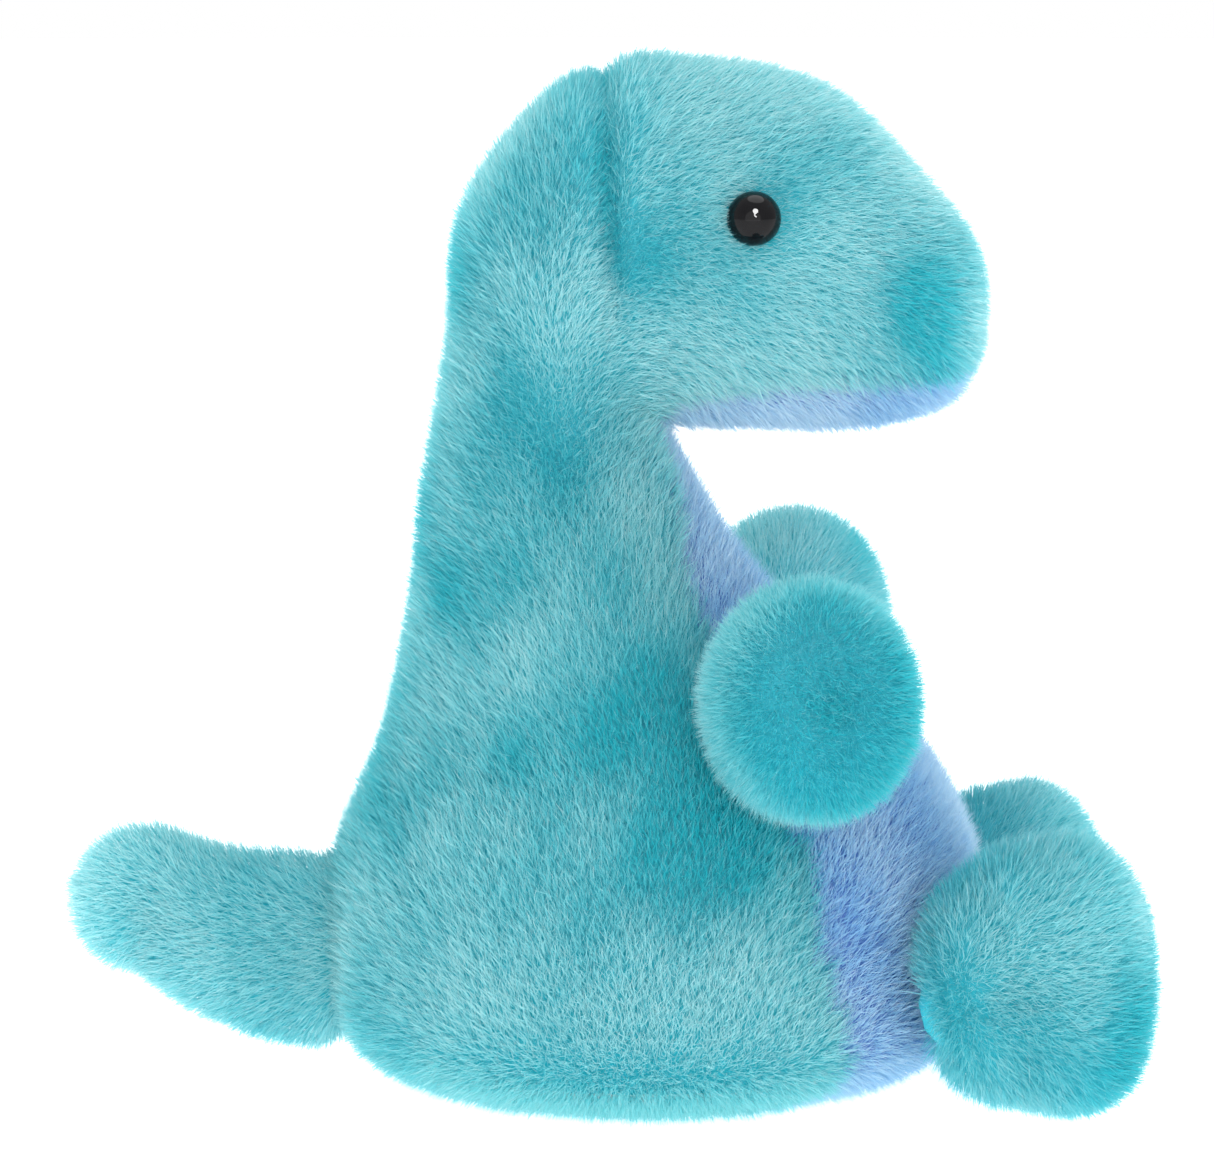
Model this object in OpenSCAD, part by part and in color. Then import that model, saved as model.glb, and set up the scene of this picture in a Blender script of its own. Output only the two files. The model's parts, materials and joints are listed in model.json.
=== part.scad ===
// Sitting long-necked dinosaur in soft plush.
// X points forward along the nose, Y to the animal's left, Z up. The origin is the centre of the flat seat.
// Every outer size is taken over the tips of the pile, so a panel is as thick as its pile and backing.

/* [Seat and body] */
// Length of the flat seat, front to back
seat_len = 32; // [28:0.5:44]
// Width of the flat seat
seat_w = 26; // [22:0.5:36]
// Reach of the hips behind the middle of the seat
hip_back = 39.5; // [34:0.5:48]
// Reach of the belly in front of the middle of the seat
hip_front = 40; // [34:0.5:48]
// Width across the hips
hip_w = 71; // [58:1:86]
// Height of the widest part of the hips
hip_z = 19; // [16:0.5:23]
// Height of the chest, where the arms are sewn on
chest_z = 53; // [48:0.5:58]
// Reach of the chest in front of the middle of the seat
chest_front = 21.5; // [18:0.5:26]
// Width of the chest
chest_w = 48; // [40:1:58]

/* [Neck] */
// Height of the narrowest part of the neck
neck_z = 74; // [72.5:0.5:76]
// Reach of the neck behind the middle of the seat
neck_back = 27.1; // [24:0.1:32]
// Reach of the throat in front of the middle of the seat
neck_front = 5.2; // [3.2:0.1:7.2]
// Width of the neck
neck_w = 33.6; // [28:0.2:40]
// Height of the plane at which the neck twists
turn_z = 66; // [62:0.5:68]
// Height of the crook at which the head nods
nod_z = 77; // [76:0.5:78]

/* [Head] */
// Height of the crown above the seat
crown_z = 124.6; // [112:0.2:142]
// Height of the underside of the chin
chin_z = 79.4; // [78.4:0.2:81]
// Reach of the nose in front of the middle of the seat
nose_x = 40.3; // [34:0.1:48]
// Width across the cheeks
head_w = 41; // [35:0.5:49]
// Height of the eyes
eye_z = 106.3; // [102:0.1:110]
// Reach of the eyes in front of the middle of the seat
eye_x = 11.9; // [8:0.1:15]
// Diameter of an eye
eye_d = 6.3; // [5:0.1:8]
// Diameter of an eye's stem
stem_d = 2.2; // [1.6:0.1:3]
// Diameter of the washer that locks the stem
washer_d = 8; // [6:0.1:9.6]

/* [Limbs and tail] */
// Length of an arm from its sewn root
arm_len = 23; // [19:0.5:28]
// Height of an arm
arm_h = 28.8; // [24:0.2:32]
// Thickness of an arm
arm_w = 25.2; // [21:0.2:30]
// Length of a leg from its sewn root
leg_len = 24.5; // [24:0.5:33]
// Height of a foot
leg_h = 31.6; // [26:0.2:32.2]
// Thickness of a foot
leg_w = 28.4; // [24:0.2:31]
// Length of the tail from its sewn root
tail_len = 27.6; // [23:0.2:34]
// Height of the tail
tail_h = 22; // [18:0.2:26]
// Thickness of the tail
tail_w = 19.6; // [16:0.2:24]

/* [Cloth and filling] */
// Thickness of the body's plush, pile and backing
plush = 5; // [4.2:0.1:5.6]
// Thickness of the limbs' plush
limb_plush = 3.4; // [2.8:0.1:3.8]
// Thickness of the base panel
base_t = 3.4; // [2.8:0.1:4.2]
// Diameter of the pellet pouch
pouch_d = 38; // [30:1:42]
// Height of the pellet pouch
pouch_h = 10; // [8:0.5:12]
// Diameter of a pellet
pellet_d = 3; // [2.4:0.1:3.4]
// Thickness of the sewing thread
thread_d = 0.5; // [0.3:0.05:0.6]

/* [Hidden] */

teal = "mediumturquoise";
periwinkle = "cornflowerblue";
filling = "whitesmoke";
pouch_cloth = "gainsboro";
black = "black";

// Gap between two panels at a seam, between a panel and the filling, and between two parts that move
seam = 0.1;
liner = 0.2;
gap = 0.3;
// Half angle of the notch that lets the head nod, in degrees
notch = 7.5;
// Room at a sewn root, in which the limb swings, radius of the limb there,
// and how much more room a limb needs that stands aslant to the body or above wide hips
flare_room = 0.22;
flare_free = 23;
arm_root = 0.8 + flare_room * max(0, hip_w - chest_w - flare_free);
leg_root = 1.4;
tail_root = 1.9;
root_slant = 6;
arm_root_r = 4.6;
leg_root_r = 5;
tail_root_r = 7;
// Where the arms and the legs are sewn on: height, and angle round the body from the front
arm_z = 49.5;
arm_angle = 55;
leg_z = 15;
leg_angle = 34;
tail_z = 17.5;
// Direction of each limb: turned out from straight ahead, and raised
arm_out = 76;
arm_up = 2;
leg_out = 0;
leg_up = 14;
tail_up = 12;
pouch_wall = 0.8;
pouch_gap = 0.4;
pellet_pitch = pellet_d + 0.5;
eye_stem_len = 6;
washer_t = 1.2;
washer_gap = 0.8;
washer_side = 0.5;

// Rows and columns of facets
side_cols = 12;
front_cols = 14;
ring_cols = 32;
body_rows = 18;
neck_rows = 3;
nape_rows = 8;
head_rows = 11;
chin_rows = 16;
limb_cols = 10;
limb_rows = 11;
last = 16;

// Stations from the seat up the neck and along the head to the muzzle:
// back or crown x and z, front or underside x and z, half width, half angle of the belly, throat and chin panel
function level(z, back, front, w, belly) = [-back, z, front, z, w, belly];
stations = [
    level(0, seat_len / 2, seat_len / 2, seat_w / 2, 42),
    level(3, hip_back - 9.5, hip_front - 10.5, hip_w / 2 - 9, 45),
    level(hip_z - 10, hip_back - 1.5, hip_front - 1.5, hip_w / 2 - 1.5, 52),
    level(hip_z, hip_back, hip_front, hip_w / 2, 60),
    level(hip_z + 11, hip_back - 1.5, hip_front - 0.3, hip_w / 2 - 1.5, 64),
    level(chest_z - 11, hip_back - 6.7, hip_front - 7, hip_w / 2 - 6.5, 66),
    level(chest_z, neck_back + 2.6, chest_front, chest_w / 2, 59),
    level(neck_z - 10, neck_back + 0.8, neck_front + 6.1, neck_w / 2 + 2.7, 48),
    level(neck_z, neck_back, neck_front, neck_w / 2, 24),
    [2.8 - neck_back, chin_z + 12.6, neck_front - 1.9, chin_z - 0.1, head_w / 2 - 2.7, 22],
    [7.8 - neck_back, crown_z - 14.6, neck_front - 1.4, chin_z + 0.2, head_w / 2 - 1.3, 24],
    [nose_x - 46.3, crown_z - 2, neck_front + 0.3, chin_z + 0.2, head_w / 2 - 0.1, 30],
    [nose_x - 31.8, crown_z, nose_x - 26.8, chin_z, head_w / 2 + 0.1, 37],
    [nose_x - 19.3, crown_z - 3.6, nose_x - 17.3, chin_z + 0.2, head_w / 2 - 1.3, 41],
    [nose_x - 9.3, crown_z - 12.6, nose_x - 10, chin_z + 1.2, head_w / 2 - 4.5, 44],
    [nose_x - 2, crown_z - 23, nose_x - 5.8, chin_z + 2.8, head_w / 2 - 8.7, 42],
    [nose_x, crown_z - 30.6, nose_x - 2.6, chin_z + 5.6, head_w / 2 - 13.6, 34]];
muzzle = [nose_x - 0.6, 0, chin_z + 9.8];
inner_last = last - 1.15;

function lerp(a, b, k) = a + (b - a) * k;
function unit(v) = v / norm(v);

// A smooth curve through the rows of a table, u counted in rows
function spline(rows, u) = let (
    n = len(rows) - 1,
    i = max(0, min(n - 1, floor(u))),
    k = u - i,
    a = rows[max(i - 1, 0)],
    b = rows[i],
    c = rows[i + 1],
    d = rows[min(i + 2, n)])
    b + k * (c - a) / 2 + k * k * (2 * a - 5 * b + 4 * c - d) / 2 + k * k * k * (3 * b - a - 3 * c + d) / 2;

// A point of the hide at station u: angle 0 is the front or underside, 90 the right flank, 180 the back or crown
function hide(u, angle, inset) = let (
    r = spline(stations, u),
    crown = [r[0], r[1]],
    under = [r[2], r[3]],
    half = norm(under - crown) / 2,
    p = (crown + under) / 2 + (under - crown) / (2 * half) * (half - inset) * cos(angle))
    [p[0], -(r[4] - inset) * sin(angle), p[1]];

function hide_normal(u, angle) = unit(cross(
    hide(u, angle + 1, 0) - hide(u, angle - 1, 0),
    hide(u + 0.02, angle, 0) - hide(u - 0.02, angle, 0))) * -1;

// The station at height z of the body, found by halving
function station_at(z, lo = 0, hi = 8, left = 24) = left == 0 ? (lo + hi) / 2
    : spline(stations, (lo + hi) / 2)[1] < z ? station_at(z, (lo + hi) / 2, hi, left - 1)
    : station_at(z, lo, (lo + hi) / 2, left - 1);

// The station at which the hide meets the notch of the nod, above (side 1) or below it (side -1)
nod_x = (neck_front - neck_back) / 2;
function over_notch(p, side) = p[2] - nod_z - side * (gap / 2 + abs(p[0] - nod_x) * tan(notch));
function notch_at(angle, inset, side, lo = 6.8, hi = 9.8, left = 24) = left == 0 ? (lo + hi) / 2
    : over_notch(hide((lo + hi) / 2, angle, inset), side) < 0
        ? notch_at(angle, inset, side, (lo + hi) / 2, hi, left - 1)
    : notch_at(angle, inset, side, lo, (lo + hi) / 2, left - 1);

// Half angle of the belly panel at station u, and the angle that half a seam takes there
function belly_angle(u) = spline(stations, u)[5];
function seam_angle(u) = asin(seam / 2 / (spline(stations, u)[4] - plush));

// Closed solids from a grid of points: a panel between an outer and an inner face, and a loft of rings
function apart(p, t) = norm(p[t[0]] - p[t[1]]) > 1e-5 && norm(p[t[1]] - p[t[2]]) > 1e-5
    && norm(p[t[2]] - p[t[0]]) > 1e-5;
function halves(p, quads) = [for (q = quads, t = [[q[0], q[1], q[2]], [q[0], q[2], q[3]]]) if (apart(p, t)) t];

module panel(outer, inner) {
    rows = len(outer);
    cols = len(outer[0]);
    n = rows * cols;
    top = (rows - 1) * cols;
    points = [for (face = [outer, inner], row = face) each row];
    faces = [
        for (r = [0 : rows - 2], c = [0 : cols - 2]) let (i = r * cols + c) each [
            [i, i + 1, i + cols + 1, i + cols],
            [n + i, n + i + cols, n + i + cols + 1, n + i + 1]],
        for (c = [0 : cols - 2]) each [
            [c + 1, c, n + c, n + c + 1],
            [top + c, top + c + 1, n + top + c + 1, n + top + c]],
        for (r = [0 : rows - 2]) let (i = r * cols, j = i + cols - 1) each [
            [i, i + cols, n + i + cols, n + i],
            [j + cols, j, n + j, n + j + cols]]];
    polyhedron(points, halves(points, faces), convexity = 8);
}

module loft(rings) {
    cols = len(rings[0]);
    points = [for (ring = rings) each ring];
    faces = [for (r = [0 : len(rings) - 2], c = [0 : cols - 1]) let (i = r * cols, d = (c + 1) % cols)
        [i + c, i + d, i + cols + d, i + cols + c]];
    polyhedron(points, halves(points, faces), convexity = 8);
}

function point_ring(p, cols) = [for (c = [1 : cols]) p];
function middle(ring) = let (s = [for (p = ring) 1] * ring) s / len(ring);

// One face of a panel of the body, from its low to its high station
function body_face(inset, low, high, side) = [for (r = [0 : body_rows]) let (u = lerp(low, high, r / body_rows))
    side ? flank_row(u, inset) : front_row(u, inset)];
function flank_row(u, inset) = let (a = belly_angle(u) + seam_angle(u), b = 180 - seam_angle(u))
    [for (c = [0 : side_cols]) hide(u, lerp(a, b, c / side_cols), inset)];
function front_row(u, inset) = let (a = belly_angle(u) - seam_angle(u))
    [for (c = [0 : front_cols]) hide(u, lerp(-a, a, c / front_cols), inset)];

// Body: from the seat to the plane of the twist
body_top = station_at(turn_z - gap / 2);
fill_low = station_at(base_t + liner);
module body_panel(side) {
    panel(body_face(0, 0, body_top, side), body_face(plush, fill_low, body_top, side));
}
module body_side_right() { color(teal) body_panel(true); }
module body_side_left() { color(teal) mirror([0, 1, 0]) body_panel(true); }
module belly_panel() { color(periwinkle) body_panel(false); }

// The oval base, and the thread that joins it to the panels round it
function seat_outline(grow) = [for (c = [0 : ring_cols - 1]) let (a = 360 * c / ring_cols)
    [(seat_len / 2 + grow) * cos(a), (seat_w / 2 + grow) * sin(a)]];
thread_lift = 0.7;
thread_out = 0.8;
module base_panel() { color(teal) linear_extrude(base_t) polygon(seat_outline(-liner)); }
module base_thread() {
    color(teal) translate([0, 0, thread_lift]) linear_extrude(thread_d) difference() {
        polygon(seat_outline(thread_out + thread_d));
        polygon(seat_outline(thread_out));
    }
}

// Filling of the body, with a pocket underneath for the pellets
full_turn = [for (c = [0 : ring_cols - 1]) 360 * c / ring_cols - 180];
function fill_ring(u) = [for (a = full_turn) hide(u, a, plush + liner)];
function pocket_ring(z) = [for (a = full_turn) [(pouch_d / 2 + pouch_gap) * cos(a),
    -(pouch_d / 2 + pouch_gap) * sin(a), z]];
pocket_top = base_t + liner + pouch_h + 2 * pouch_gap;
module body_fill() {
    rings = [for (r = [0 : body_rows]) fill_ring(lerp(fill_low, body_top, r / body_rows))];
    color(filling) loft(concat(
        [point_ring([0, 0, pocket_top], ring_cols), pocket_ring(pocket_top), pocket_ring(rings[0][0][2])],
        rings,
        [point_ring(middle(rings[body_rows]), ring_cols)]));
}

// Pouch of pellets: two round cloth cups, rim to rim
module pouch_cup() {
    difference() {
        cylinder(h = pouch_h / 2 - seam / 2, d = pouch_d, $fn = 48);
        translate([0, 0, pouch_wall]) cylinder(h = pouch_h, d = pouch_d - 2 * pouch_wall, $fn = 48);
    }
}
pouch_z = base_t + liner + pouch_gap;
module pouch_bottom() { color(pouch_cloth) translate([0, 0, pouch_z]) pouch_cup(); }
module pouch_top() { color(pouch_cloth) translate([0, 0, pouch_z + pouch_h]) mirror([0, 0, 1]) pouch_cup(); }

// Pellets in staggered layers, as many as lie in the pouch
pellet_reach = pouch_d / 2 - pouch_wall - pellet_d / 2 - 0.3;
pellet_layers = floor((pouch_h - 2 * pouch_wall) / pellet_pitch);
pellet_span = ceil(pellet_reach / pellet_pitch);
module pellets() {
    color("ivory")
    for (layer = [0 : pellet_layers - 1], row = [-pellet_span : pellet_span], i = [-pellet_span : pellet_span]) {
        x = (i + abs(row % 2) / 2 + layer % 2 / 4) * pellet_pitch;
        y = row * pellet_pitch * sin(60);
        if (norm([x, y]) < pellet_reach)
            translate([x, y, pouch_z + pouch_wall + pellet_d / 2 + 0.2 + layer * pellet_pitch])
                sphere(d = pellet_d, $fn = 16);
    }
}

// Neck: from the plane of the twist to the notch of the nod
neck_low = station_at(turn_z + gap / 2);
function neck_face(inset, side) = [for (r = [0 : neck_rows]) [for (c = [0 : side ? side_cols : front_cols])
    let (a = edge_angle(c, side, neck_low), u = lerp(neck_low, notch_at(a, inset, -1), r / neck_rows),
        b = edge_angle(c, side, u)) hide(u, b, inset)]];
function edge_angle(c, side, u) = side
    ? lerp(belly_angle(u) + seam_angle(u), 180 - seam_angle(u), c / side_cols)
    : lerp(-belly_angle(u) + seam_angle(u), belly_angle(u) - seam_angle(u), c / front_cols);
module neck_panel(side) { panel(neck_face(0, side), neck_face(plush, side)); }
module neck_side_right() { color(teal) neck_panel(true); }
module neck_side_left() { color(teal) mirror([0, 1, 0]) neck_panel(true); }
module throat_panel() { color(periwinkle) neck_panel(false); }
module neck_fill() {
    inset = plush + liner;
    rings = [for (r = [0 : neck_rows]) [for (a = full_turn)
        hide(lerp(neck_low, notch_at(a, inset, -1), r / neck_rows), a, inset)]];
    color(filling) loft(concat(
        [point_ring(middle(rings[0]), ring_cols)],
        rings,
        [point_ring([nod_x, 0, nod_z - gap / 2], ring_cols)]));
}

// Head: the nape runs from the notch to the upright seam, the head from there to the muzzle
nape_top = 11;
function nape_face(inset) = [for (r = [0 : nape_rows]) [for (c = [0 : side_cols])
    let (a = edge_angle(c, true, 9), u = lerp(notch_at(a, inset, 1), nape_top, r / nape_rows))
    hide(u, edge_angle(c, true, u), inset)]];
module nape_right() { color(teal) panel(nape_face(0), nape_face(plush)); }
module nape_left() { color(teal) mirror([0, 1, 0]) panel(nape_face(0), nape_face(plush)); }

function tip(inset) = inset == 0 ? muzzle : middle([for (a = full_turn) hide(inner_last, a, inset)]);
function head_face(inset) = let (end = inset == 0 ? last : inner_last) concat(
    [for (r = [0 : head_rows]) let (u = lerp(nape_top + 0.01, end, r / head_rows))
        [for (c = [0 : side_cols]) hide(u, edge_angle(c, true, u), inset)]],
    [point_ring(tip(inset), side_cols + 1)]);
function chin_face(inset) = let (end = inset == 0 ? last : inner_last) concat(
    [for (r = [0 : chin_rows]) [for (c = [0 : front_cols])
        let (a = edge_angle(c, false, 9), u = lerp(notch_at(a, inset, 1), end, r / chin_rows))
        hide(u, edge_angle(c, false, u), inset)]],
    [point_ring(tip(inset), front_cols + 1)]);

// The eyes stand square on the head, their stems through the plush and locked by a washer behind it
function angle_at(u, z) = let (r = spline(stations, u)) acos((r[1] + r[3] - 2 * z) / (r[1] - r[3]));
function eye_at(lo, hi, left) = let (mid = (lo + hi) / 2) left == 0 ? mid
    : hide(mid, angle_at(mid, eye_z), 0)[0] < eye_x ? eye_at(mid, hi, left - 1)
    : eye_at(lo, mid, left - 1);
eye_station = eye_at(11, 15, 24);
eye_angle = angle_at(eye_station, eye_z);
eye_spot = hide(eye_station, eye_angle, 0);
eye_dir = hide_normal(eye_station, eye_angle);
module at_eye() {
    translate(eye_spot) rotate([0, acos(eye_dir[2]), atan2(eye_dir[1], eye_dir[0])]) children();
}
eye_bore = 0.15;
module eye_hole() {
    at_eye() translate([0, 0, eye_bore - plush]) cylinder(h = 2 * plush, d = eye_d + 2 * eye_bore, $fn = 48);
    at_eye() translate([0, 0, -2 * plush]) cylinder(h = 2 * plush, d = stem_d + 2 * eye_bore, $fn = 32);
}
module head_side() {
    difference() {
        panel(head_face(0), head_face(plush));
        eye_hole();
    }
}
module head_side_right() { color(teal) head_side(); }
module head_side_left() { color(teal) mirror([0, 1, 0]) head_side(); }
module chin_panel() { color(periwinkle) panel(chin_face(0), chin_face(plush)); }

module washer_room() {
    at_eye() translate([0, 0, -plush - eye_stem_len])
        cylinder(h = eye_stem_len + plush, d = washer_d + 2 * washer_side, $fn = 48);
}
module head_fill() {
    inset = plush + liner;
    rings = [for (r = [0 : chin_rows]) [for (a = full_turn)
        hide(lerp(notch_at(a, inset, 1), inner_last - 0.1, r / chin_rows), a, inset)]];
    color(filling) difference() {
        loft(concat(
            [point_ring([nod_x, 0, nod_z + gap / 2], ring_cols)],
            rings,
            [point_ring(middle(rings[chin_rows]), ring_cols)]));
        washer_room();
        mirror([0, 1, 0]) washer_room();
    }
}

// A safety eye: glossy dome on a stem, its rim sunk in the plush
dome_sink = plush - 0.4;
dome_rise = 0.57 * dome_sink;
rim_trim = 0.2;
stem_overlap = 1;
module eye() {
    color(black) at_eye() translate([0, 0, -dome_sink]) {
        rotate_extrude($fn = 64) intersection() {
            translate([0, dome_rise]) circle(d = eye_d, $fn = 64);
            translate([0, rim_trim]) square([eye_d, dome_rise + eye_d]);
        }
        translate([0, 0, -eye_stem_len]) cylinder(h = eye_stem_len + stem_overlap, d = stem_d, $fn = 32);
    }
}
module eye_right() { eye(); }
module eye_left() { mirror([0, 1, 0]) eye(); }
module eye_washer() {
    color("white") at_eye() translate([0, 0, -plush - washer_t - washer_gap]) difference() {
        cylinder(h = washer_t, d = washer_d, $fn = 48);
        translate([0, 0, -washer_t]) cylinder(h = 3 * washer_t, d = stem_d + seam, $fn = 32);
    }
}
module eye_washer_right() { eye_washer(); }
module eye_washer_left() { mirror([0, 1, 0]) eye_washer(); }

// Limbs: a closed form along a line from the sewn root, told as distance along it, half height and half thickness
function limb_rows_of(len, h, w, root) = [
    [0, root, root],
    [0.13 * len, lerp(root, h / 2, 0.5), lerp(root, w / 2, 0.48)],
    [0.27 * len, lerp(root, h / 2, 0.82), lerp(root, w / 2, 0.8)],
    [0.43 * len, h / 2 - 0.3, w / 2 - 0.2],
    [0.6 * len, h / 2, w / 2],
    [0.78 * len, h / 2 * 0.86, w / 2 * 0.86],
    [0.92 * len, h / 2 * 0.55, w / 2 * 0.55]];
function limb_frame(z, angle, room, out, up) = let (
    u = station_at(z),
    spot = hide(u, angle, 0),
    normal = hide_normal(u, angle),
    along = [cos(up) * cos(out), -cos(up) * sin(out), sin(up)],
    across = unit(cross(along, [0, 0, 1])))
    [spot + normal * (room + root_slant * norm(cross(normal, along))), along, across, cross(across, along),
        spot, normal];
function limb_point(f, row, a, inset) = f[0] + row[0] * f[1]
    + (row[2] - inset) * cos(a) * f[2] + (row[1] - inset) * sin(a) * f[3];
limb_last = 6;
limb_inner_last = 5.3;
tip_round = 3;
function limb_tip(rows) = rows[limb_last][0] / 0.92;
// The plush is thicker round the tip: k is 0 at the root and 1 at the tip
function limb_inset(k) = limb_plush + tip_round * pow(k, 4);
function limb_face(f, rows, inner, from, to) = let (end = inner ? limb_inner_last : limb_last) concat(
    [for (r = [0 : limb_rows]) let (
        row = spline(rows, end * r / limb_rows),
        inset = inner ? limb_inset(r / limb_rows) : 0)
        [for (c = [0 : limb_cols]) limb_point(f, row, lerp(from, to, c / limb_cols), inset)]],
    [point_ring(f[0] + (inner ? spline(rows, end)[0] : limb_tip(rows)) * f[1], limb_cols + 1)]);

limb_seam = 0.5;
fill_short = 0.1;
module limb_half(f, rows, from) {
    panel(limb_face(f, rows, false, from + limb_seam, from + 180 - limb_seam),
        limb_face(f, rows, true, from + limb_seam, from + 180 - limb_seam));
}
module limb_fill(f, rows) {
    rings = [for (r = [0 : limb_rows]) let (
        row = spline(rows, (limb_inner_last - fill_short) * r / limb_rows),
        inset = limb_inset(r / limb_rows) + liner)
        [for (c = [0 : 2 * limb_cols - 1]) limb_point(f, row, 180 * c / limb_cols, inset)]];
    loft(concat(
        [point_ring(middle(rings[0]), 2 * limb_cols)],
        rings,
        [point_ring(middle(rings[limb_rows]), 2 * limb_cols)]));
}
ring_r = 2.6;
ring_lift = 0.6;
module root_thread(f) {
    n = f[5];
    translate(f[4] + n * ring_lift) rotate([0, acos(n[2]), atan2(n[1], n[0])])
        rotate_extrude($fn = 32) translate([ring_r, 0]) circle(d = thread_d, $fn = 16);
}

arm_frame = limb_frame(arm_z, arm_angle, arm_root, arm_out, arm_up);
arm_form = limb_rows_of(arm_len, arm_h, arm_w, arm_root_r);
module arm_right_outer() { color(teal) limb_half(arm_frame, arm_form, 90); }
module arm_right_inner() { color(teal) limb_half(arm_frame, arm_form, -90); }
module arm_right_fill() { color(filling) limb_fill(arm_frame, arm_form); }
module arm_right_thread() { color(teal) root_thread(arm_frame); }
module arm_left_outer() { mirror([0, 1, 0]) arm_right_outer(); }
module arm_left_inner() { mirror([0, 1, 0]) arm_right_inner(); }
module arm_left_fill() { mirror([0, 1, 0]) arm_right_fill(); }
module arm_left_thread() { mirror([0, 1, 0]) arm_right_thread(); }

leg_frame = limb_frame(leg_z, leg_angle, leg_root, leg_out, leg_up);
leg_form = limb_rows_of(leg_len, leg_h, leg_w, leg_root_r);
module leg_right_upper() { color(teal) limb_half(leg_frame, leg_form, 0); }
module leg_right_sole() { color(teal) limb_half(leg_frame, leg_form, 180); }
module leg_right_fill() { color(filling) limb_fill(leg_frame, leg_form); }
module leg_right_thread() { color(teal) root_thread(leg_frame); }
module leg_left_upper() { mirror([0, 1, 0]) leg_right_upper(); }
module leg_left_sole() { mirror([0, 1, 0]) leg_right_sole(); }
module leg_left_fill() { mirror([0, 1, 0]) leg_right_fill(); }
module leg_left_thread() { mirror([0, 1, 0]) leg_right_thread(); }

tail_frame = limb_frame(tail_z, 180, tail_root, 180, tail_up);
tail_form = limb_rows_of(tail_len, tail_h, tail_w, tail_root_r);
module tail_right() { color(teal) limb_half(tail_frame, tail_form, -90); }
module tail_left() { color(teal) limb_half(tail_frame, tail_form, 90); }
module tail_fill() { color(filling) limb_fill(tail_frame, tail_form); }
module tail_thread() { color(teal) root_thread(tail_frame); }

body_side_right();
body_side_left();
belly_panel();
base_panel();
base_thread();
body_fill();
pouch_bottom();
pouch_top();
pellets();
neck_side_right();
neck_side_left();
throat_panel();
neck_fill();
nape_right();
nape_left();
head_side_right();
head_side_left();
chin_panel();
head_fill();
eye_right();
eye_left();
eye_washer_right();
eye_washer_left();
arm_right_outer();
arm_right_inner();
arm_right_fill();
arm_right_thread();
arm_left_outer();
arm_left_inner();
arm_left_fill();
arm_left_thread();
leg_right_upper();
leg_right_sole();
leg_right_fill();
leg_right_thread();
leg_left_upper();
leg_left_sole();
leg_left_fill();
leg_left_thread();
tail_right();
tail_left();
tail_fill();
tail_thread();
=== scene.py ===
import json
import math

import bmesh
import bpy
import numpy as np
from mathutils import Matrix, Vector


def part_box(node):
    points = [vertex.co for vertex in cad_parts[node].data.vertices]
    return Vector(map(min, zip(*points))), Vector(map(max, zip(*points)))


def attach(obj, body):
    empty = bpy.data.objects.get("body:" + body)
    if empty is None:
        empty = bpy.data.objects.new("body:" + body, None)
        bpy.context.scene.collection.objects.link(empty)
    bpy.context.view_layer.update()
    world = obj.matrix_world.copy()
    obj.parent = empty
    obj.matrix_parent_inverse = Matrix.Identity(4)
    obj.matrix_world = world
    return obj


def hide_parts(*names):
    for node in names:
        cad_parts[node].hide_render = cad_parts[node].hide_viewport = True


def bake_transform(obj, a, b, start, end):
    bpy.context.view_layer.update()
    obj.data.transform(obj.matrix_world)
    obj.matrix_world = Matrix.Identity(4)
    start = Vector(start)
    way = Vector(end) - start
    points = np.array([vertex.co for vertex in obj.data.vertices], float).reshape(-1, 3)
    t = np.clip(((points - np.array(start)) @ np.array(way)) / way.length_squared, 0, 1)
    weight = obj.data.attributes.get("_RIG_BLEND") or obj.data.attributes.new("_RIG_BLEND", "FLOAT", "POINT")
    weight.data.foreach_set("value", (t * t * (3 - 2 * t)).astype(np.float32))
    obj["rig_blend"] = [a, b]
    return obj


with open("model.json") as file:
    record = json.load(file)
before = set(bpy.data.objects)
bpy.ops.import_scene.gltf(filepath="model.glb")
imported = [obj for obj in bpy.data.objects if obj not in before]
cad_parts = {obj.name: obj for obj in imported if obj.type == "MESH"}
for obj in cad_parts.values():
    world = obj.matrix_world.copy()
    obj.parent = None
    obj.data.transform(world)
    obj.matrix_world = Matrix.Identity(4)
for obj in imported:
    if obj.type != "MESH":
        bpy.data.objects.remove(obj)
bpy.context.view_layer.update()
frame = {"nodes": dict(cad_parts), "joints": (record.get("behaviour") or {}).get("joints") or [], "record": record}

# --------------------------------------------------------------------------------------------------
# Cloth hide of the body, neck and head: panels of knitted backing sewn edge to edge and filled, so the form
# is drawn in at every seam and rounds out between them. The pile stands on it.
# Sections run from the flat seat up the neck, round the crook and along the head to the muzzle.
# --------------------------------------------------------------------------------------------------
MM = 0.001
HIDE_DEPTH = 2.9          # how far the backing lies below the tips of the pile
NECK_CUT = 8.0 - 0.25     # section at which the hide is divided between the two bends of the neck
NOSE = 17.0               # the last section
HEAD_SEAM = (83.0, -4.2, 122.0, -5.9)     # z and x of the lower and upper end of the seam behind the cheek
# how deep each seam draws the hide in, and the reach of that dip to either side
PANEL_DIP = (0.9, 2.2)
BACK_DIP = (0.4, 2.0)
HEAD_DIP = (1.5, 1.8)
LIMB_DIP = (0.35, 2.0)
STITCH_REACH = 1.6        # how far to either side a seam holds the cloth while it fills
PILE = 3.5                # length of the longest fibres
CROWN_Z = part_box("head_side_right")[1][2] / MM
NOSE_X = max(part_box("head_side_right")[1][0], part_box("chin_panel")[1][0]) / MM

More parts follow.
